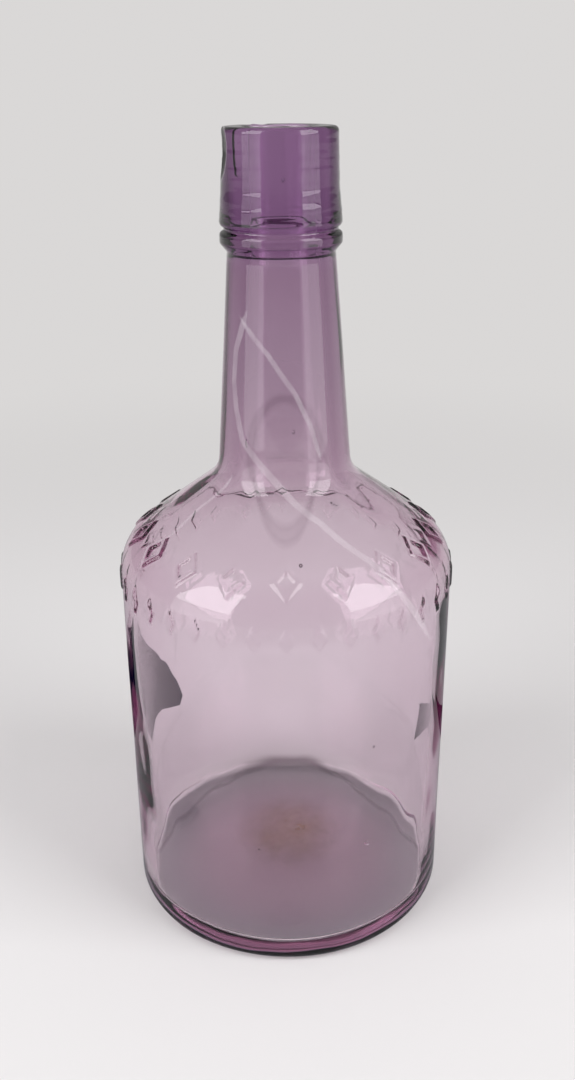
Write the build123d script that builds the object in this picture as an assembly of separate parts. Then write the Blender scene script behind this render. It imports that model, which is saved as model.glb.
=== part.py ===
from build123d import *
import math
import os

# Antique bottle blown from one gather of glass, with a second gather applied round
# the end of its neck and tooled into a collar and a bead. The blown glass is held as two
# solids, the body and the neck, that meet at the root of the neck. Millimetres, +Z up,
# origin on the axis at the plane that the bottle stands on.

# ---- driving dimensions ----
total_height = 227.0

# outside of the blown bottle
body_radius = 48.0
heel_radius = 3.5
shoulder_corner_z = 114.8        # where the body wall and the shoulder cone would meet
shoulder_round = 24.0
neck_corner_z = 136.5            # where the shoulder cone and the neck would meet
neck_corner_radius = 18.7
neck_round = 9.0
neck_root_drop = 2.5             # from the neck's corner down to where the neck begins
neck_top_radius = 14.3           # at the underside of the applied finish

# glass thickness
body_wall = 3.4
base_thickness = 5.6              # at the edge of the domed floor
inner_heel_round = 2.3
floor_edge = 40.0                # where the domed floor inside begins
floor_rise = 6.0
shoulder_wall = 3.4
neck_base_wall = 5.0
inner_neck_round = 12.0

# push-up under the base
resting_ring_inner = 36.0
push_up_depth = 3.0

# applied finish
finish_height = 30.4
bore_radius = 9.0
bore_length = 22.0
lip_thickness = 4.0              # finish glass above the end of the neck
mouth_round = 0.8
collar_top_radius = 15.0
collar_top_round = 1.4
collar_waist_radius = 15.25      # the collar spreads below this level
collar_waist_drop = 14.0         # down from the mouth, as are the next three
collar_foot_radius = 16.1
collar_foot_drop = 23.6
collar_foot_round = 1.5
groove_radius = 14.5
groove_drop = 24.7
groove_round = 0.6
bead_radius = 16.1
bead_drop = 27.0
bead_height = 2.4
bead_round = 1.3

# flakes lost from the lip, each a shallow hollow
side_flake_round = 16.0
side_flake_depth = 1.2
side_flake_drop = 5.0            # centre, down from the mouth
side_flake_angle = 188.0         # about +Z from +X
rim_flake_round = 9.0
rim_flake_depth = 1.0
rim_flake_inset = 1.2            # centre, in from the collar's outside
rim_flake_angle = 123.0

# raised marks round the shoulder, generic lozenges moulded with the body
relief_height = 0.5
relief_stroke = 1.2
relief_root = 1.3                # how far a mark is carried down into the wall
large_mark_count = 18
large_mark_z = 119.6
large_mark_size = (7.6, 10.4)    # round the body, up the shoulder
small_mark_count = 36
small_mark_z = 106.8
small_mark_size = (3.6, 7.0)

os.makedirs("parts", exist_ok=True)

# ---- sizes that follow ----
finish_z = total_height - finish_height
bore_foot_z = total_height - bore_length
neck_end_z = total_height - lip_thickness
neck_root_z = neck_corner_z - neck_root_drop
cone_run = body_radius - neck_corner_radius
cone_rise = neck_corner_z - shoulder_corner_z
shoulder_lean = math.atan2(cone_run, cone_rise)
neck_slope = (neck_corner_radius - neck_top_radius) / (finish_z - neck_corner_z)
neck_end_radius = neck_top_radius - neck_slope * (neck_end_z - finish_z)


def turned(outline):
    """Solid of revolution about Z of a closed outline drawn in the XZ plane."""
    return revolve(Plane.XZ * make_face(outline), Axis.Z)


def fit_round(before, corner, after, radius):
    """The radius, limited by the shorter of the two runs that meet at the corner."""
    runs = (math.dist(before, corner), math.dist(corner, after))
    turn = math.pi - abs(
        (math.atan2(before[1] - corner[1], before[0] - corner[0])
         - math.atan2(after[1] - corner[1], after[0] - corner[0])) % (2 * math.pi)
    )
    return min(radius, 0.48 * min(runs) / math.tan(abs(turn) / 2))


def rounded_path(corners):
    """Straight runs through (r, z, round) corners, with an arc at each round one."""
    points = [(r, z) for r, z, _ in corners]
    radii = [
        fit_round(points[i - 1], points[i], points[i + 1], corners[i][2])
        for i in range(1, len(corners) - 1)
    ]
    return FilletPolyline(*points, radius=radii)


# ---- blown glass: heel, body, shoulder and neck, hollow, with a push-up ----
push_up_round = (resting_ring_inner**2 + push_up_depth**2) / (2 * push_up_depth)


def outside_of_glass():
    wall = rounded_path([
        (resting_ring_inner, 0, 0),
        (body_radius, 0, heel_radius),
        (body_radius, shoulder_corner_z, shoulder_round),
        (neck_corner_radius, neck_corner_z, neck_round),
        (neck_end_radius, neck_end_z, 0),
    ])
    crown = RadiusArc((0, push_up_depth), (resting_ring_inner, 0), push_up_round)
    top = Line((neck_end_radius, neck_end_z), (0, neck_end_z))
    axis = Line((0, neck_end_z), (0, push_up_depth))
    return turned([crown, wall, top, axis])


def inside_of_glass():
    lean_gap = shoulder_wall / math.cos(shoulder_lean)
    inner_body = body_radius - body_wall
    inner_shoulder_z = shoulder_corner_z + body_wall / math.tan(shoulder_lean)
    inner_shoulder_z -= lean_gap / math.tan(shoulder_lean)
    inner_neck = neck_corner_radius - neck_base_wall
    inner_neck_z = inner_shoulder_z + (inner_body - inner_neck) / math.tan(shoulder_lean)
    wall = rounded_path([
        (floor_edge, base_thickness, 0),
        (inner_body, base_thickness, inner_heel_round),
        (inner_body, inner_shoulder_z, shoulder_round - shoulder_wall),
        (inner_neck, inner_neck_z, inner_neck_round),
        (bore_radius, bore_foot_z, 0),
    ])
    crown_z = base_thickness + floor_rise
    floor_round = (floor_edge**2 + floor_rise**2) / (2 * floor_rise)
    crown = RadiusArc((0, crown_z), (floor_edge, base_thickness), floor_round)
    bore = Polyline((bore_radius, bore_foot_z), (bore_radius, total_height), (0, total_height))
    axis = Line((0, total_height), (0, crown_z))
    return turned([crown, wall, bore, axis])


# ---- raised marks: lozenge outlines that follow the shoulder ----
def raised_shoulder():
    """The outside near the shoulder, grown by the height of the marks."""
    corner_rise = relief_height * math.tan(shoulder_lean / 2)
    low_z = shoulder_corner_z - shoulder_round
    wall = rounded_path([
        (body_radius + relief_height, low_z, 0),
        (body_radius + relief_height, shoulder_corner_z + corner_rise,
         shoulder_round + relief_height),
        (neck_corner_radius + relief_height * math.cos(shoulder_lean),
         neck_corner_z + relief_height * math.sin(shoulder_lean), 0),
    ])
    closing = Polyline(wall @ 1, (0, (wall @ 1).Y), (0, low_z), wall @ 0)
    return turned([wall, closing])


def shoulder_point(z):
    """Radius and outward lean of the outside at height z on the shoulder round."""
    start_z = shoulder_corner_z - shoulder_round * math.tan(shoulder_lean / 2)
    lean = math.asin(min((z - start_z) / shoulder_round, math.sin(shoulder_lean)))
    radius = body_radius - shoulder_round * (1 - math.cos(lean))
    return radius, lean


def lozenge_ring(count, z, size, turn):
    radius, lean = shoulder_point(z)
    normal = Vector(math.cos(lean), 0, math.sin(lean))
    seat = Plane(origin=(radius, 0, z), x_dir=(0, 1, 0), z_dir=normal)
    half_w, half_h = size[0] / 2, size[1] / 2
    shrink = relief_stroke * math.hypot(half_w, half_h)
    inner_w = half_w - shrink / half_h
    inner_h = half_h - shrink / half_w
    outer = Polyline((half_w, 0), (0, half_h), (-half_w, 0), (0, -half_h), close=True)
    outline = make_face(outer)
    if min(inner_w, inner_h) > relief_stroke / 2:
        inner = Polyline((inner_w, 0), (0, inner_h), (-inner_w, 0), (0, -inner_h), close=True)
        outline -= make_face(inner)
    blank = extrude(seat * outline, amount=2 * relief_root)
    blank += extrude(seat * outline, amount=-relief_root)
    mark = blank & raised_shoulder()
    return [Rot(0, 0, turn + 360 * i / count) * mark for i in range(count)]


blown_glass = outside_of_glass() - inside_of_glass()
neck_root = Plane.XY.offset(neck_root_z)
neck = split(blown_glass, bisect_by=neck_root, keep=Keep.TOP)
half_step = 180 / large_mark_count
marks = lozenge_ring(large_mark_count, large_mark_z, large_mark_size, half_step)
marks += lozenge_ring(small_mark_count, small_mark_z, small_mark_size, 0)
blown_body = split(blown_glass, bisect_by=neck_root, keep=Keep.BOTTOM) + marks


# ---- applied finish: collar, groove and bead on the end of the neck ----
def sphere_at(radius, angle, from_axis, z):
    bearing = math.radians(angle)
    return Pos(from_axis * math.cos(bearing), from_axis * math.sin(bearing), z) * Sphere(radius)


bead_z = total_height - bead_drop
outer = rounded_path([
    (neck_top_radius, finish_z, 0),
    (bead_radius, bead_z - bead_height / 2, bead_round),
    (bead_radius, bead_z + bead_height / 2, bead_round),
    (groove_radius, total_height - groove_drop, groove_round),
    (collar_foot_radius, total_height - collar_foot_drop, collar_foot_round),
    (collar_waist_radius, total_height - collar_waist_drop, collar_waist_drop),
    (collar_top_radius, total_height, collar_top_round),
    (bore_radius, total_height, mouth_round),
    (bore_radius, neck_end_z, 0),
])
seat = Polyline((bore_radius, neck_end_z), (neck_end_radius, neck_end_z), (neck_top_radius, finish_z))
applied_finish = turned([outer, seat])
applied_finish -= sphere_at(
    side_flake_round, side_flake_angle,
    collar_top_radius + side_flake_round - side_flake_depth, total_height - side_flake_drop,
)
applied_finish -= sphere_at(
    rim_flake_round, rim_flake_angle,
    collar_top_radius - rim_flake_inset, total_height + rim_flake_round - rim_flake_depth,
)

cavity_ml = inside_of_glass().volume / 1000
print(f"brimful capacity {cavity_ml:.0f} ml")

pieces = {"blown_body": blown_body, "neck": neck, "applied_finish": applied_finish}
for name, piece in pieces.items():
    export_step(piece, f"parts/{name}.step")
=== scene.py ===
import math

import bmesh
import bpy
from mathutils import Matrix, Vector, noise


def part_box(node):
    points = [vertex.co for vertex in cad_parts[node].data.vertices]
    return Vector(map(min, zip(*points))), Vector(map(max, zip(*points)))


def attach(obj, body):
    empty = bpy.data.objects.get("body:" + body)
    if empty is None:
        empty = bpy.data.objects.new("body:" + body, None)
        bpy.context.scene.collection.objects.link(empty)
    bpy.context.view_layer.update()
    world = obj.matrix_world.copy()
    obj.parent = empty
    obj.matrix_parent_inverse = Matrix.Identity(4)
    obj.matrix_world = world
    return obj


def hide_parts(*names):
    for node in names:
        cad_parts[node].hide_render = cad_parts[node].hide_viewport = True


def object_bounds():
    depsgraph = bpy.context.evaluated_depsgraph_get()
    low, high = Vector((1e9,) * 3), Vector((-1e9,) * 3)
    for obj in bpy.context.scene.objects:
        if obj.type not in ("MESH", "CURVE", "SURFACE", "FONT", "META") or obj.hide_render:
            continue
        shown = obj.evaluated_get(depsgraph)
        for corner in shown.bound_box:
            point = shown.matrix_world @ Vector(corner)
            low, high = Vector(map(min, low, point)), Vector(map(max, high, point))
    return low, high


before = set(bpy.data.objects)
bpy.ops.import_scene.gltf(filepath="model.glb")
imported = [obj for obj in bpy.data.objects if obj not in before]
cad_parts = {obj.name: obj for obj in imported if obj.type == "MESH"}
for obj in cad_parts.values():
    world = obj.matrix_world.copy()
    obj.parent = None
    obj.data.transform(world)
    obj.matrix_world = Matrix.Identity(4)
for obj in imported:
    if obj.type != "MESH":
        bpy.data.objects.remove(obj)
cad_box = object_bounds()
scene = bpy.context.scene
MM = 0.001

# ---------------------------------------------------------------- camera
# A close view from just above the mouth, looking down at the middle of the bottle.
# The body fills the width, so the base is seen at about forty degrees.
RELIEF = 0.5                    # millimetres that the shoulder's raised marks stand out
BODY = round(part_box("blown_body")[1][0] / MM, 1) - RELIEF
CAMERA_BACK, CAMERA_UP = 5.910 * BODY * MM, 4.926 * BODY * MM
CAMERA_PITCH = math.radians(23.33)
CAMERA_YAW = math.radians(0.10)
CAMERA_ROLL = math.radians(-0.45)
camera = bpy.data.objects.new("camera", bpy.data.cameras.new("camera"))
scene.collection.objects.link(camera)
scene.camera = camera
camera.data.sensor_width = 36.0
camera.data.lens = 35.25
camera.matrix_world = (
    Matrix.Translation((0, -CAMERA_BACK, CAMERA_UP))
    @ Matrix.Rotation(-CAMERA_YAW, 4, "Z")
    @ Matrix.Rotation(math.pi / 2 - CAMERA_PITCH, 4, "X")
    @ Matrix.Rotation(CAMERA_ROLL, 4, "Z")
)

# ---------------------------------------------------------------- the glass
# The bottle itself: one gather blown in a mould, pushed up under the base, and a second
# gather wrapped round the end of the neck and tooled into a collar over a bead. The two
# are fused, so they are one closed wall of glass here, outside, lip, bore and inside.
# millimetres, as are all sizes of the wall and its marks
TOP = round(cad_box[1][2] / MM, 1)
FINISH_Z = round(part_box("applied_finish")[0][2] / MM, 1)
HEEL = 3.5
SHOULDER_Z, SHOULDER_ROUND = 114.8, 24.0
NECK_Z, NECK_BASE, NECK_ROUND, NECK_TOP = 136.5, 18.7, 9.0, 14.3
WALL, SHOULDER_WALL, NECK_WALL, FLOOR = 3.4, 3.4, 5.0, 5.6
RING_IN, PUSH_UP = 36.0, 3.0
INNER_HEEL, CROWN_EDGE, FLOOR_CROWN = 2.3, 40.0, 6.0
INNER_NECK_ROUND, BORE_ROUND = 12.0, 6.0
COLLAR, BORE, BORE_FOOT, BORE_MID = 15.0, 9.0, 205.0, 212.0
BODY_END, CONE_REACH = 100.0, 10.0      # where the outline changes its spacing
COLUMNS = 192
LEAN = math.atan2(BODY - NECK_BASE, NECK_Z - SHOULDER_Z)


def rounded(corners, spacing):
    """Points along straight runs, with an arc at each corner between the two ends."""
    knots = [Vector(c[:2]) for c in corners]
    path = [knots[0]]
    for i in range(1, len(corners) - 1):
        corner, radius = knots[i], corners[i][2]
        back, on = knots[i - 1] - corner, knots[i + 1] - corner
        half = back.angle(on) / 2
        reach = min(radius / math.tan(half), 0.48 * min(back.length, on.length))
        radius = reach * math.tan(half)
        inward = (back.normalized() + on.normalized()).normalized()
        centre = corner + inward * (radius / math.sin(half))
        start = corner + back.normalized() * reach - centre
        turn = math.pi - 2 * half
        turn *= 1 if back.cross(on) < 0 else -1
        steps = max(3, math.ceil(abs(turn) * radius / spacing), math.ceil(abs(turn) / 0.16))
        path += [
            centre + Matrix.Rotation(turn * k / steps, 2) @ start for k in range(steps + 1)
        ]
    path.append(knots[-1])
    filled = [path[0]]
    for point in path[1:]:
        gap = point - filled[-1]
        steps = max(1, math.ceil(gap.length / spacing - 0.2))
        filled += [filled[-1] + gap * k / steps for k in range(1, steps)] + [point]
    return filled


def crown(height, edge, base, steps=9):
    """The crown of a push-up, from the axis out to just short of its edge."""
    ball = (edge**2 + height**2) / (2 * height)
    radii = [edge * k / steps for k in range(steps)]
    return [Vector((r, base + height - ball + math.sqrt(ball**2 - r**2))) for r in radii]


cone_point = (NECK_BASE + CONE_REACH, NECK_Z - CONE_REACH / math.tan(LEAN), 0)
lower = rounded([(RING_IN, 0, 0), (BODY, 0, HEEL), (BODY, BODY_END, 0)], 6.0)
shoulder = rounded([
    (BODY, BODY_END, 0), (BODY, SHOULDER_Z, SHOULDER_ROUND), cone_point,
], 1.2)
neck = rounded([
    cone_point, (NECK_BASE, NECK_Z, NECK_ROUND), (NECK_TOP, FINISH_Z, 0),
], 3.0)
finish = rounded([
    (NECK_TOP, FINISH_Z, 0),
    (16.1, 198.8, 1.3), (16.1, 201.2, 1.3),
    (14.5, 202.3, 0.6),
    (16.1, 203.4, 1.5), (15.25, 213.0, 14.0),
    (COLLAR, TOP, 1.4), (BORE, TOP, 0.8), (BORE, BORE_MID, 0),
], 0.45)
shoulder_gap = SHOULDER_WALL / math.cos(LEAN)
inner_shoulder_z = SHOULDER_Z + (WALL - shoulder_gap) / math.tan(LEAN)
inner_neck_z = inner_shoulder_z + (BODY - WALL - NECK_BASE + NECK_WALL) / math.tan(LEAN)
inside = rounded([
    (BORE, BORE_MID, 0), (BORE, BORE_FOOT, BORE_ROUND),
    (NECK_BASE - NECK_WALL, inner_neck_z, INNER_NECK_ROUND),
    (BODY - WALL, inner_shoulder_z, SHOULDER_ROUND - SHOULDER_WALL),
    (BODY - WALL, FLOOR, INNER_HEEL), (CROWN_EDGE, FLOOR, 0),
], 3.2)
outside = crown(PUSH_UP, RING_IN, 0) + lower + shoulder[1:] + neck[1:] + finish[1:]
outline = outside + inside[1:] + crown(FLOOR_CROWN, CROWN_EDGE, FLOOR)[::-1]

glass_mesh = bpy.data.meshes.new("bottle_glass")
bm = bmesh.new()
line = [bm.verts.new((p.x, 0, p.y)) for p in outline]
line_edges = [bm.edges.new(pair) for pair in zip(line, line[1:])]
bmesh.ops.spin(
    bm, geom=line + line_edges, cent=(0, 0, 0), axis=(0, 0, 1), dvec=(0, 0, 0),
    angle=2 * math.pi, steps=COLUMNS, use_merge=True, use_duplicate=False,
)
bmesh.ops.remove_doubles(bm, verts=bm.verts, dist=1e-4)
bmesh.ops.recalc_face_normals(bm, faces=bm.faces)

# raised lozenges round the shoulder, moulded with the body
STROKE, MARK_ROOM = 1.2, 1.5
STROKE_FOOT = 0.75 * STROKE
RELIEF_LOW, RELIEF_HIGH = 102.0, 126.0
ROWS = (
    {"count": 18, "z": 119.6, "half": (3.8, 5.2), "turn": 10.0},
    {"count": 36, "z": 106.8, "half": (1.8, 3.5), "turn": 0.0},
)


def mark_seat(row, index):
    """Centre, sideways direction and upslope direction of one raised mark."""
    low = SHOULDER_Z - SHOULDER_ROUND * math.tan(LEAN / 2)
    tilt = math.asin(min((row["z"] - low) / SHOULDER_ROUND, math.sin(LEAN)))
    radius = BODY - SHOULDER_ROUND * (1 - math.cos(tilt))
    bearing = math.radians(row["turn"] + 360 * index / row["count"])
    out = Vector((math.cos(bearing), math.sin(bearing), 0))
    side = Vector((-math.sin(bearing), math.cos(bearing), 0))
    upslope = Vector((0, 0, math.cos(tilt))) - out * math.sin(tilt)
    return out * radius + Vector((0, 0, row["z"])), side, upslope


def raised(place):
    """Height of the raised marks at a place on the outside of the shoulder."""
    height = 0.0
    for row in ROWS:
        if abs(place.z - row["z"]) > row["half"][1] + MARK_ROOM:
            continue
        bearing = math.degrees(math.atan2(place.y, place.x)) - row["turn"]
        index = round(bearing * row["count"] / 360)
        centre, side, up = mark_seat(row, index)
        across, along = (place - centre).dot(side), (place - centre).dot(up)
        half_w, half_h = row["half"]
        slant = half_w * half_h / math.hypot(half_w, half_h)
        inset = (abs(across) / half_w + abs(along) / half_h - 1) * slant + STROKE / 2
        if slant < 2 * STROKE:
            inset = max(inset, 0)
        height = max(height, 1 - (abs(inset) / STROKE_FOOT) ** 2)
    return RELIEF * height * (2 - height) if height > 0 else 0.0


MID_BODY, MID_CONE, MID_CONE_Z, MID_SLOPE = 46.2, 34.5, 120.0, 1.4


def mid_wall(z):
    """A radius inside the glass of the body and the shoulder at a height."""
    return min(MID_BODY, MID_CONE - (z - MID_CONE_Z) * MID_SLOPE)


def on_relief(face):
    """Whether a face is on the outside and holds part of a raised mark."""
    c = face.calc_center_median()
    if not RELIEF_LOW < c.z < RELIEF_HIGH or c.xy.length < mid_wall(c.z):
        return False
    return any(raised(v.co) > 0 for v in face.verts) or raised(c) > 0


marked = [f for f in bm.faces if on_relief(f)]
near = {e for f in marked for v in f.verts for g in v.link_faces for e in g.edges}
near_edges = [e for e in bm.edges if e in near]
bmesh.ops.subdivide_edges(bm, edges=near_edges, cuts=2, use_grid_fill=True)

# a hand's irregularity: soft waves outside, a wandering wall inside, draw lines up the
# neck, rings left by the tool on the finish, and a neck that leans a little to the left
WALL_WANDER, WALL_RIPPLE, DRAW_LINES = 0.45, 0.12, 0.35
SKIN_WAVE, TOOL_RINGS = 0.12, 0.07
TOOLED_FROM, DRAWN_FROM, LEAN_FROM, NECK_LEAN = 203.0, 125.0, 110.0, 0.8


def waves(place, scale, seed):
    """Smooth noise about zero, a little longer up the bottle than round it."""
    return noise.noise(Vector((place.x * scale + seed, place.y * scale, place.z * scale * 0.6)))


def hand_made(v):
    """How far one point of the turned wall moves, along its normal and to the left."""
    radius, z = v.co.xy.length, v.co.z
    if radius < 0.5:
        return Vector()
    lift = 0.0
    if v.normal.xy.dot(v.co.xy) < 0 or (v.normal.z > 0.9 and z < 20):
        if z < TOOLED_FROM:
            lift += WALL_WANDER * waves(v.co, 0.035, 7.0) + WALL_RIPPLE * waves(v.co, 0.12, 3.0)
        if z > DRAWN_FROM:
            around = v.co.xy / radius * 2.6
            lift += DRAW_LINES * noise.noise(Vector((around.x, around.y, z * 0.008)))
    elif z > 1.0 or radius < RING_IN:
        lift += SKIN_WAVE * waves(v.co, 0.05, 1.0)
        if z > BODY_END and radius > mid_wall(z):
            lift += raised(v.co)
        if z > TOOLED_FROM:
            rings = Vector((v.co.x * 0.09, v.co.y * 0.09, z * 0.8))
            lift += TOOL_RINGS * noise.noise(rings)
    lean = -NECK_LEAN * max(0.0, (z - LEAN_FROM) / (TOP - LEAN_FROM)) ** 1.5
    return v.normal * lift + Vector((lean, 0, 0))


bm.normal_update()
moves = [hand_made(v) for v in bm.verts]
for v, move in zip(list(bm.verts), moves):
    v.co += move

# two shallow shells of glass lost from the lip, one at the side and one on the rim
SIDE_BALL, SIDE_DEPTH, SIDE_DROP, SIDE_BEARING = 16.0, 1.2, 5.0, math.radians(188)
RIM_BALL, RIM_DEPTH, RIM_INSET, RIM_BEARING = 9.0, 1.0, 1.2, math.radians(123)
RIPPLE, RIPPLE_RATE = 0.03, 5.0


def hollow(place, centre, ball, toward):
    """Pushes a place that lies inside the ball out to its face, in one direction."""
    offset = place - centre
    along = offset.dot(toward)
    across = (offset - toward * along).length
    ball += RIPPLE * math.sin(across * RIPPLE_RATE)
    if offset.length >= ball or across >= ball:
        return place
    return place + toward * (math.sqrt(ball**2 - across**2) - along)


side_out = Vector((math.cos(SIDE_BEARING), math.sin(SIDE_BEARING), 0))
rim_out = Vector((math.cos(RIM_BEARING), math.sin(RIM_BEARING), 0))
side_centre = side_out * (COLLAR + SIDE_BALL - SIDE_DEPTH) + Vector((0, 0, TOP - SIDE_DROP))
rim_centre = rim_out * (COLLAR - RIM_INSET) + Vector((0, 0, TOP + RIM_BALL - RIM_DEPTH))
for v in bm.verts:
    if v.co.z > BORE_FOOT and v.co.xy.length > BORE + 0.5:
        v.co = hollow(v.co, side_centre, SIDE_BALL, -side_out)
        v.co = hollow(v.co, rim_centre, RIM_BALL, Vector((0, 0, -1)))

# seeds and blisters: gas caught in the wall, so their faces look into the hollow
SEEDS = (
    # bearing, height, radius of the middle of the wall, size, stretch
    (-90, 215.0, 12.5, 0.35, 1.6),
    (-118, 205.5, 12.8, 0.4, 2.2),
    (-82, 152.0, 15.6, 0.35, 1.8),
    (-128, 148.0, 15.8, 0.4, 3.0),
    (-84, 122.0, 36.0, 0.5, 1.3),
    (-100, 40.0, 46.3, 0.3, 1.2),
    (-60, 70.0, 46.3, 0.3, 1.5),
    (-40, 30.0, 46.3, 0.35, 1.4),
    (-6, 5.5, 25.8, 1.0, 0.6),
    (60, 60.0, 46.3, 0.4, 1.6),
    (130, 85.0, 46.3, 0.35, 1.5),
    (170, 50.0, 46.3, 0.4, 1.3),
)
for bearing, z, radius, size, stretch in SEEDS:
    spot = Matrix.Rotation(math.radians(bearing), 4, "Z") @ Matrix.Translation((radius, 0, z))
    made = bmesh.ops.create_icosphere(
        bm, subdivisions=2, radius=size, matrix=spot @ Matrix.Diagonal((0.7, 1, stretch, 1)),
    )
    bmesh.ops.reverse_faces(bm, faces=list({f for v in made["verts"] for f in v.link_faces}))

bmesh.ops.scale(bm, vec=(MM, MM, MM), verts=bm.verts)
for f in bm.faces:
    f.smooth = True
bm.to_mesh(glass_mesh)
bm.free()
bottle = bpy.data.objects.new("bottle_glass", glass_mesh)
scene.collection.objects.link(bottle)


def material(name):
    """A new material, its node tree and its Principled shader."""
    look = bpy.data.materials.new(name)
    look.use_nodes = True
    return look, look.node_tree, look.node_tree.nodes["Principled BSDF"]


def arithmetic(tree, operation, *values, clamp=False):
    """One arithmetic node, taking numbers or other nodes' outputs."""
    node = tree.nodes.new("ShaderNodeMath")
    node.operation = operation
    node.use_clamp = clamp
    for slot, value in zip(node.inputs, values):
        if isinstance(value, (int, float)):
            slot.default_value = value
        else:
            tree.links.new(value, slot)
    return node.outputs[0]


def smooth_range(tree, value, start, end, first=0.0, last=1.0):
    """Eases from the first number to the last as the value goes from start to end."""
    node = tree.nodes.new("ShaderNodeMapRange")
    node.interpolation_type = "SMOOTHSTEP"
    for slot, number in (("From Min", start), ("From Max", end), ("To Min", first), ("To Max", last)):
        node.inputs[slot].default_value = number
    tree.links.new(value, node.inputs["Value"])
    return node.outputs[0]


amethyst, tree, shader = material("sun_coloured_glass")
shader.inputs["Transmission Weight"].default_value = 1.0
shader.inputs["IOR"].default_value = 1.5
shader.inputs["Roughness"].default_value = 0.0
place = tree.nodes.new("ShaderNodeTexCoord")
axes = tree.nodes.new("ShaderNodeSeparateXYZ")
tree.links.new(place.outputs["Object"], axes.inputs[0])
at_x, at_y, at_z = axes.outputs

# painted shade in the base: a darker arch painted into the glass's tint, standing in for a dark
# line seen bent through the far heel; a bow whose tip is at the back, in metres, faded out above the
# floor and cut under it
ARCH_TIP, ARCH_BOW, ARCH_HALF_WIDTH = 0.0445, 26.5, 0.0036
ARCH_FOOT, ARCH_HEAD, ARCH_FADE = 0.004, 0.009, 400.0
bow = arithmetic(tree, "MULTIPLY", arithmetic(tree, "MULTIPLY", at_x, at_x), ARCH_BOW)
past_tip = arithmetic(tree, "SUBTRACT", arithmetic(tree, "ADD", at_y, bow), ARCH_TIP)
off_arch = arithmetic(tree, "ABSOLUTE", past_tip)
painted_arch = smooth_range(tree, off_arch, 0.0, ARCH_HALF_WIDTH, 1.0, 0.0)
below_head = arithmetic(tree, "SUBTRACT", ARCH_HEAD, at_z)
under_head = arithmetic(tree, "MULTIPLY", below_head, ARCH_FADE, clamp=True)
above_foot = arithmetic(tree, "GREATER_THAN", at_z, ARCH_FOOT)
painted_arch_shade = arithmetic(tree, "MULTIPLY", painted_arch, arithmetic(tree, "MULTIPLY", under_head, above_foot))

# painted shade: a fainter upright ring painted into the tint at the front of the neck's root,
# standing in for the dark line the glass bends there
RING_Z, RING_HALF_X, RING_HALF_Z, RING_BAND = 0.144, 0.0088, 0.0168, 0.10
RING_SHARE, RING_CUT = 0.5, 0.17
ring_x = arithmetic(tree, "POWER", arithmetic(tree, "DIVIDE", at_x, RING_HALF_X), 2.0)
rise = arithmetic(tree, "SUBTRACT", at_z, RING_Z)
ring_z = arithmetic(tree, "POWER", arithmetic(tree, "DIVIDE", rise, RING_HALF_Z), 2.0)
ring_reach = arithmetic(tree, "SQRT", arithmetic(tree, "ADD", ring_x, ring_z))
off_ring = arithmetic(tree, "ABSOLUTE", arithmetic(tree, "SUBTRACT", ring_reach, 1.0))
fall = arithmetic(tree, "SUBTRACT", 1.0, arithmetic(tree, "DIVIDE", off_ring, RING_BAND))
ring = arithmetic(tree, "MAXIMUM", fall, 0.0)
front = arithmetic(tree, "LESS_THAN", at_y, 0.0)
in_front = arithmetic(tree, "MULTIPLY", front, arithmetic(tree, "LESS_THAN", at_z, RING_CUT))
painted_ring_shade = arithmetic(tree, "MULTIPLY", arithmetic(tree, "MULTIPLY", ring, in_front), RING_SHARE)
# the glass's own faint tint, darkened to painted shade on the arch in the base and the ring in the
# neck
tint_and_painted_shade = tree.nodes.new("ShaderNodeMix")
tint_and_painted_shade.data_type = "RGBA"
tint_and_painted_shade.inputs["A"].default_value = (0.985, 0.975, 0.985, 1)
tint_and_painted_shade.inputs["B"].default_value = (0.40, 0.33, 0.38, 1)
tree.links.new(arithmetic(tree, "MAXIMUM", painted_arch_shade, painted_ring_shade), tint_and_painted_shade.inputs["Factor"])
tree.links.new(tint_and_painted_shade.outputs["Result"], shader.inputs["Base Color"])

# how much the glass takes from light that crosses it, deepening up the neck; the lowest stop darkens
# the glass along the heel as painted shade, and the next two leave the base clearer
DEEPENING = (
    # share of the bottle's height, colour
    # painted shade along the heel
    (0.000, (0.52, 0.74, 0.71)),
    (0.010, (0.95, 0.91, 0.94)),
    (0.024, (1.0, 0.94, 0.965)),
    (0.060, (0.895, 0.787, 0.855)),
    (0.44, (0.895, 0.787, 0.855)),
    (0.54, (0.84, 0.70, 0.79)),
    (0.62, (0.72, 0.555, 0.68)),
    (0.73, (0.62, 0.44, 0.595)),
    (0.84, (0.525, 0.285, 0.50)),
    (0.90, (0.52, 0.25, 0.54)),
)
by_height = tree.nodes.new("ShaderNodeValToRGB")
tree.links.new(arithmetic(tree, "DIVIDE", at_z, TOP * MM), by_height.inputs[0])
stops = by_height.color_ramp.elements
while len(stops) < len(DEEPENING):
    stops.new(1.0)
for stop, (share, colour) in zip(stops, DEEPENING):
    stop.position = share
    stop.color = (*colour, 1)
depth = tree.nodes.new("ShaderNodeVolumeAbsorption")
depth.inputs["Density"].default_value = 200.0
tree.links.new(by_height.outputs[0], depth.inputs["Color"])
tree.links.new(depth.outputs[0], tree.nodes["Material Output"].inputs["Volume"])
glass_mesh.materials.append(amethyst)
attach(bottle, "root")
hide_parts("blown_body", "neck", "applied_finish")

# ---------------------------------------------------------------- dried residue
# What the last contents left: a brown stain in the middle of the floor inside, and a few
# pale runs dried on the outside of the neck and the shoulder. All are thin dry films.
bpy.context.view_layer.update()


def film(name, bm):
    """An object of a thin film, from its mesh."""
    mesh = bpy.data.meshes.new(name)
    for f in bm.faces:
        f.smooth = True
    bm.to_mesh(mesh)
    bm.free()
    thing = bpy.data.objects.new(name, mesh)
    scene.collection.objects.link(thing)
    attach(thing, "root")
    return thing


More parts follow.
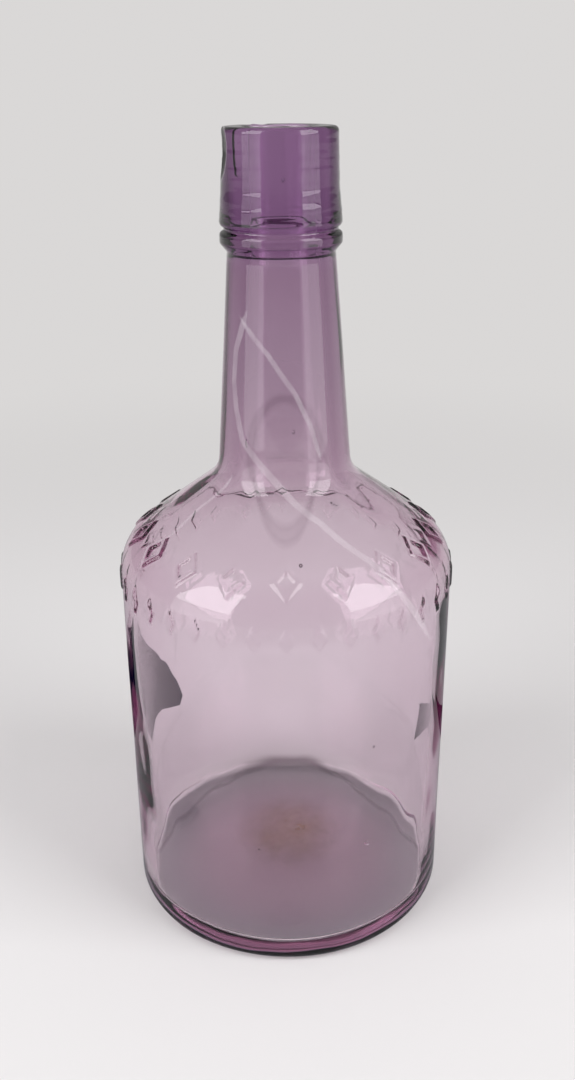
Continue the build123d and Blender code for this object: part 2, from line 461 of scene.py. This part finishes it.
def dry_look(thing, name, colour, cover, scale, fade):
    """A rough patchy film, about as dense as the cover given, that fades out between
    two distances from the bottle's axis."""
    look, tree, shader = material(name)
    shader.inputs["Base Color"].default_value = (*colour, 1)
    shader.inputs["Roughness"].default_value = 0.85
    place = tree.nodes.new("ShaderNodeTexCoord")
    patches = tree.nodes.new("ShaderNodeTexNoise")
    patches.inputs["Scale"].default_value = scale
    patches.inputs["Detail"].default_value = 4.0
    tree.links.new(place.outputs["Object"], patches.inputs["Vector"])
    level = tree.nodes.new("ShaderNodeVectorMath")
    level.operation = "MULTIPLY"
    level.inputs[1].default_value = (1, 1, 0)
    tree.links.new(place.outputs["Object"], level.inputs[0])
    away = tree.nodes.new("ShaderNodeVectorMath")
    away.operation = "LENGTH"
    tree.links.new(level.outputs[0], away.inputs[0])
    edge = smooth_range(tree, away.outputs["Value"], *fade, 2 * cover, 0.0)
    alpha = arithmetic(tree, "MULTIPLY", edge, patches.outputs["Fac"])
    tree.links.new(alpha, shader.inputs["Alpha"])
    thing.data.materials.append(look)


# the stain is a disc laid onto the domed floor from above
STAIN_RADII = (0.8, 3, 5, 7, 9, 11, 13, 15, 17, 19)
STAIN_COLUMNS, STAIN_LIFT, DROP_FROM = 40, 0.00006, 0.03
bm = bmesh.new()
spoke = [bm.verts.new((radius * MM, 0, DROP_FROM)) for radius in STAIN_RADII]
spoke_edges = [bm.edges.new(pair) for pair in zip(spoke, spoke[1:])]
bmesh.ops.spin(
    bm, geom=spoke + spoke_edges, cent=(0, 0, 0), axis=(0, 0, 1), dvec=(0, 0, 0),
    angle=2 * math.pi, steps=STAIN_COLUMNS, use_merge=True, use_duplicate=False,
)
rim = STAIN_RADII[0] * MM * 1.01
inner_edges = [e for e in bm.edges if e.is_boundary and e.verts[0].co.xy.length < rim]
bmesh.ops.holes_fill(bm, edges=inner_edges, sides=0)
for v in bm.verts:
    _, spot, _, _ = bottle.ray_cast(v.co, Vector((0, 0, -1)))
    v.co.z = spot.z + STAIN_LIFT
stain = film("floor_stain", bm)
dry_look(stain, "dried_brown", (0.40, 0.25, 0.15), 0.46, 220.0, (0.002, 0.020))

RUNS = (
    # half width, then bearing in degrees and height of the points along the run
    (0.65, (-137.3, 181.9), (-105.0, 172.6), (-80.7, 162.5), (-67.6, 154.0), (-58.1, 144.0)),
    (0.95, (-126.9, 183.5), (-140.2, 172.7), (-141.7, 164.7), (-137.6, 157.4), (-129.1, 149.2),
     (-103.6, 140.7), (-85.3, 134.6), (-70.3, 129.9), (-55.8, 121.7), (-47.1, 110.0),
     (-34.6, 95.5)),
    (0.6, (-139.4, 138.8), (-148.6, 130.0), (-149.7, 123.0)),
)
RUN_STEPS, RUN_LIFT, CAST_FROM = 8, 0.00008, 0.1


def onto_wall(bearing, z):
    """The place on the outside at a bearing in degrees and a height, and its slope."""
    out = Vector((math.cos(math.radians(bearing)), math.sin(math.radians(bearing)), 0))
    _, spot, facing, _ = bottle.ray_cast(out * CAST_FROM + Vector((0, 0, z * MM)), -out)
    return spot + facing * RUN_LIFT, facing


bm = bmesh.new()
for half, *points in RUNS:
    track = [
        onto_wall(a + (c - a) * k / RUN_STEPS, b + (d - b) * k / RUN_STEPS)
        for (a, b), (c, d) in zip(points, points[1:]) for k in range(RUN_STEPS)
    ] + [onto_wall(*points[-1])]
    last = len(track) - 1
    rows = []
    for i, (spot, facing) in enumerate(track):
        along = track[min(i + 1, last)][0] - track[max(i - 1, 0)][0]
        taper = min(1, 0.15 + 0.3 * min(i, last - i))
        side = facing.cross(along).normalized() * half * MM * taper
        rows.append((bm.verts.new(spot - side), bm.verts.new(spot + side)))
    for low, high in zip(rows, rows[1:]):
        bm.faces.new((low[0], low[1], high[1], high[0]))
runs = film("wall_runs", bm)
EVERYWHERE = (0.0, 1.0)         # a fade so wide that the runs hardly thin
dry_look(runs, "dried_pale", (0.90, 0.86, 0.90), 0.13, 160.0, EVERYWHERE)

# ---------------------------------------------------------------- floor and light
# A plain pale floor that runs into a plain pale surround. Two tall soft panels stand at
# the front left and right, with a dimmer opening between them where the viewer stands.
SURROUND = (0.700, 0.685, 0.680)
FLOOR_RADIUS, FLOOR_DROP = 30.0, 0.0002
FLOOR_ENDS, SURROUND_BEGINS = 0.15, 0.65
ground_mesh = bpy.data.meshes.new("floor")
bm = bmesh.new()
bmesh.ops.create_circle(
    bm, cap_ends=True, segments=96, radius=FLOOR_RADIUS,
    matrix=Matrix.Translation((0, 0, -FLOOR_DROP)),
)
bm.to_mesh(ground_mesh)
bm.free()
ground = bpy.data.objects.new("floor", ground_mesh)
scene.collection.objects.link(ground)


def gloss_only(tree):
    """1 for a ray thrown back by gloss, and 0 for one let through the glass or any other."""
    ray = tree.nodes.new("ShaderNodeLightPath")
    glossy, through = ray.outputs["Is Glossy Ray"], ray.outputs["Is Transmission Ray"]
    return arithmetic(tree, "SUBTRACT", glossy, through, clamp=True)


paper, tree, sheet_shader = material("pale_paper")
# the paper's own colour, painted darker where it is seen in gloss: painted shade that dims its
# reflections in the glass
paper_and_gloss_shade = tree.nodes.new("ShaderNodeMix")
paper_and_gloss_shade.data_type = "RGBA"
paper_and_gloss_shade.inputs["A"].default_value = (0.80, 0.79, 0.795, 1)
paper_and_gloss_shade.inputs["B"].default_value = (0.33, 0.33, 0.35, 1)
tree.links.new(gloss_only(tree), paper_and_gloss_shade.inputs["Factor"])
tree.links.new(paper_and_gloss_shade.outputs["Result"], sheet_shader.inputs["Base Color"])
sheet_shader.inputs["Roughness"].default_value = 0.9
far = tree.nodes.new("ShaderNodeEmission")
far.inputs["Color"].default_value = (*SURROUND, 1)
place = tree.nodes.new("ShaderNodeTexCoord")
reach = tree.nodes.new("ShaderNodeVectorMath")
reach.operation = "LENGTH"
tree.links.new(place.outputs["Object"], reach.inputs[0])
blend = tree.nodes.new("ShaderNodeMixShader")
fade = smooth_range(tree, reach.outputs["Value"], FLOOR_ENDS, SURROUND_BEGINS)
tree.links.new(fade, blend.inputs[0])
tree.links.new(sheet_shader.outputs[0], blend.inputs[1])
tree.links.new(far.outputs[0], blend.inputs[2])
tree.links.new(blend.outputs[0], tree.nodes["Material Output"].inputs["Surface"])
ground_mesh.materials.append(paper)

# the surround is as bright as its colour where it is seen, and dimmer as light or in gloss
SEEN, AS_LIGHT, IN_GLOSS = 1.0, 0.70, 0.55
world = bpy.data.worlds.new("tent")
scene.world = world
world.use_nodes = True
tree = world.node_tree
sky = tree.nodes["Background"]
sky.inputs["Color"].default_value = (*SURROUND, 1)
ray = tree.nodes.new("ShaderNodeLightPath")
direct, through = ray.outputs["Is Camera Ray"], ray.outputs["Is Transmission Ray"]
seen = arithmetic(tree, "ADD", direct, through, clamp=True)
seen_or_light = arithmetic(tree, "MULTIPLY_ADD", seen, SEEN - AS_LIGHT, AS_LIGHT)
strength = arithmetic(tree, "MULTIPLY_ADD", gloss_only(tree), IN_GLOSS - AS_LIGHT, seen_or_light)
tree.links.new(strength, sky.inputs["Strength"])

PANEL_AWAY, PANEL_WIDTH = 0.62, 0.45
PANELS = (
    # name, lowest and highest height, brightness
    ("lower_panel", 0.02, 0.25, 1.4),
    ("upper_panel", 0.26, 1.02, 4.2),
)
for bearing in (math.radians(-56), math.radians(61)):
    for name, low, high, level in PANELS:
        lamp = bpy.data.lights.new(name, "AREA")
        lamp.shape = "RECTANGLE"
        lamp.size, lamp.size_y = PANEL_WIDTH, high - low
        lamp.energy = math.pi * lamp.size * lamp.size_y * level
        panel = bpy.data.objects.new(name, lamp)
        scene.collection.objects.link(panel)
        across, back = PANEL_AWAY * math.sin(bearing), PANEL_AWAY * math.cos(bearing)
        panel.location = (across, -back, (low + high) / 2)
        panel.rotation_euler = (math.pi / 2, 0, bearing)


def card(name, corners, colour):
    """A flat sheet of one plain colour that only glass and gloss can see."""
    mesh = bpy.data.meshes.new(name)
    sheet = bmesh.new()
    sheet.faces.new([sheet.verts.new(c) for c in corners])
    sheet.to_mesh(mesh)
    sheet.free()
    thing = bpy.data.objects.new(name, mesh)
    scene.collection.objects.link(thing)
    thing.visible_camera = thing.visible_diffuse = thing.visible_shadow = False
    look, tree, _ = material(name)
    glow = tree.nodes.new("ShaderNodeEmission")
    glow.inputs["Color"].default_value = (*colour, 1)
    tree.links.new(glow.outputs[0], tree.nodes["Material Output"].inputs["Surface"])
    mesh.materials.append(look)


OPENING_Y, OPENING_HALF, OPENING_LOW, OPENING_HIGH = -0.75, 0.56, 0.01, 1.3
card("opening", (
    (-OPENING_HALF, OPENING_Y, OPENING_LOW), (OPENING_HALF, OPENING_Y, OPENING_LOW),
    (OPENING_HALF, OPENING_Y, OPENING_HIGH), (-OPENING_HALF, OPENING_Y, OPENING_HIGH),
), (0.30, 0.29, 0.30))

# painted shade: nearly black sheets behind the bottle, hidden from the camera, that put dark patches
# into the edges of the body, seen only bent through the glass
DARK_Y, NEARLY_BLACK = 0.062, (0, 0, 0.008)
DARK_CARDS = {
    "dark_left": (
        (-110, 2), (-74, 2), (-63, 11), (-58, 18), (-49, 20), (-46, 25), (-49, 31), (-59, 38),
        (-67, 42), (-82, 50), (-110, 50),
    ),
    "dark_right": ((58, 2), (130, 2), (104, 8), (77, 15), (62, 20), (58, 20)),
}
for name, corners in DARK_CARDS.items():
    card(name, [(x * MM, DARK_Y, z * MM) for x, z in corners], NEARLY_BLACK)

scene.view_settings.view_transform = "Standard"
scene.cycles.transmission_bounces = 24
scene.cycles.glossy_bounces = 24
scene.cycles.max_bounces = 32
